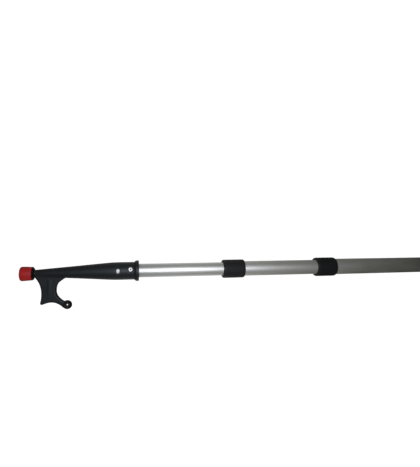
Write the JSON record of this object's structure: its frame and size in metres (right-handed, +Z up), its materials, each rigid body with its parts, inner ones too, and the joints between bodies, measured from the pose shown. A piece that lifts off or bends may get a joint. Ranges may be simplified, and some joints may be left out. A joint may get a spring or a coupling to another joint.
{
  "type": "boat hook",
  "caption": "Telescopic boat hook: round sliding tubes with twist locks, a tapered hook head with a ball-tipped arm and soft nose, collars, grip and butt cap.",
  "frame": {"origin": "centre of the flat butt face of the end cap, on the pole's centre line", "axes": "X lies along the pole, with the nose at -X and the butt at the origin; +Z is up, and the hook arm hangs to -Z; Y is across the pole"},
  "size_m": [1.259, 0.0338, 0.0744],
  "materials": {
    "head_nylon": "moulded black, fine satin grain",
    "bumper_rubber": "soft red vinyl, satin gloss",
    "collar_plastic": "moulded black, satin",
    "grip_rubber": "matt black, ringed",
    "pole_aluminium": "clear anodised, drawn along its length",
    "rivet_metal": "bright, set dome",
    "fastener_steel": "bright steel",
    "lock_nylon": "natural nylon",
    "seal_rubber": "matt black rubber"
  },
  "bodies": {
    "outer": {"outer_tube": "pole_aluminium", "rear_collar": "collar_plastic", "rear_guide_bush": "lock_nylon", "handle_grip": "grip_rubber", "end_cap": "collar_plastic"},
    "middle_ring": {"middle_lock_ring": "lock_nylon", "middle_lock_oring": "seal_rubber"},
    "middle": {"middle_tube": "pole_aluminium", "front_collar": "collar_plastic", "front_guide_bush": "lock_nylon", "middle_lock_plug": "lock_nylon", "middle_lock_pin": "fastener_steel", "middle_lock_washer": "fastener_steel", "middle_lock_screw": "fastener_steel"},
    "inner_ring": {"inner_lock_ring": "lock_nylon", "inner_lock_oring": "seal_rubber"},
    "inner": {"inner_tube": "pole_aluminium", "hook_head": "head_nylon", "nose_bumper": "bumper_rubber", "head_rivet": "rivet_metal", "rivet_mandrel": "fastener_steel", "inner_lock_plug": "lock_nylon", "inner_lock_pin": "fastener_steel", "inner_lock_washer": "fastener_steel", "inner_lock_screw": "fastener_steel"}
  },
  "joints": [
    {"name": "middle_slide", "type": "slide", "parent": "outer", "child": "middle_ring", "axis": [-1, 0, 0], "range_m": [-0.1328, 0.415]},
    {"name": "middle_twist", "type": "hinge", "parent": "middle_ring", "child": "middle", "pos_m": [-0.1, 0, 0], "axis": [1, 0, 0], "range_deg": [-22, 22]},
    {"name": "inner_slide", "type": "slide", "parent": "middle", "child": "inner_ring", "axis": [-1, 0, 0], "range_m": [-0.1382, 0.385]},
    {"name": "inner_twist", "type": "hinge", "parent": "inner_ring", "child": "inner", "pos_m": [-0.1, 0, 0], "axis": [1, 0, 0], "range_deg": [-22, 22]}
  ]
}
